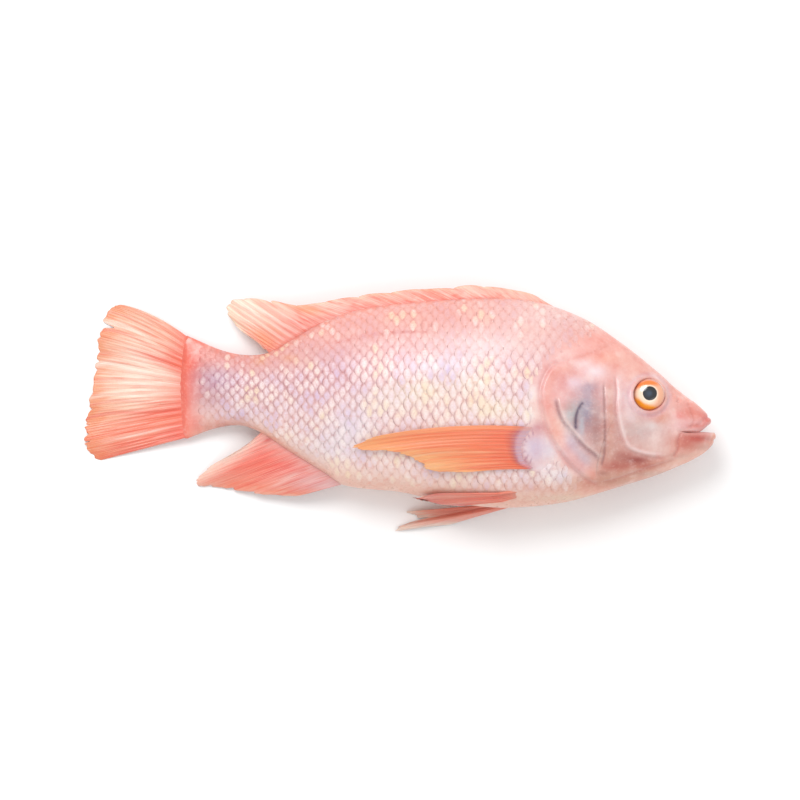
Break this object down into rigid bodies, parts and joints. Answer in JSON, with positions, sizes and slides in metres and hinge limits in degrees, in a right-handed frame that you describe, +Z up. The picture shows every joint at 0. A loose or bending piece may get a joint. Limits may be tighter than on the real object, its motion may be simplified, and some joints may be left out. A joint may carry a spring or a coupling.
{
  "type": "whole tilapia",
  "caption": "Whole red tilapia lying on its flank, deep-bodied and scaled, with its fins folded back and its mouth a little open.",
  "frame": {"origin": "on the flat where the left flank rests, under the middle of the fish's length", "axes": "+X towards the snout, +Y towards the back and its fin, +Z up out of the right flank"},
  "size_m": [0.2975, 0.1152, 0.0461],
  "materials": {
    "skin": "wet, pearly scaled skin, coral pink on the back and lilac on the flank",
    "eye": "clear wet front over a cream and orange iris and a blue-black pupil",
    "tail_fin": "thin ribbed fin, cream to peach with coral tips and a red lower edge",
    "back_fin": "thin folded fin, coral pink with red streaks and a cream rear tip",
    "anal_fin": "thin ribbed fin, coral red with a pale rear edge",
    "breast_fin": "thin ribbed fin, orange, wet",
    "belly_fin": "thin ribbed fin, coral red with pale tips"
  },
  "bodies": {
    "root": {"body": "skin", "eye_right": "eye", "eye_left": "eye", "caudal_fin": "tail_fin", "dorsal_fin": "back_fin", "anal_fin": "anal_fin", "pectoral_fin_right": "breast_fin", "pectoral_fin_left": "breast_fin", "pelvic_fin_right": "belly_fin", "pelvic_fin_left": "belly_fin"}
  },
  "joints": []
}
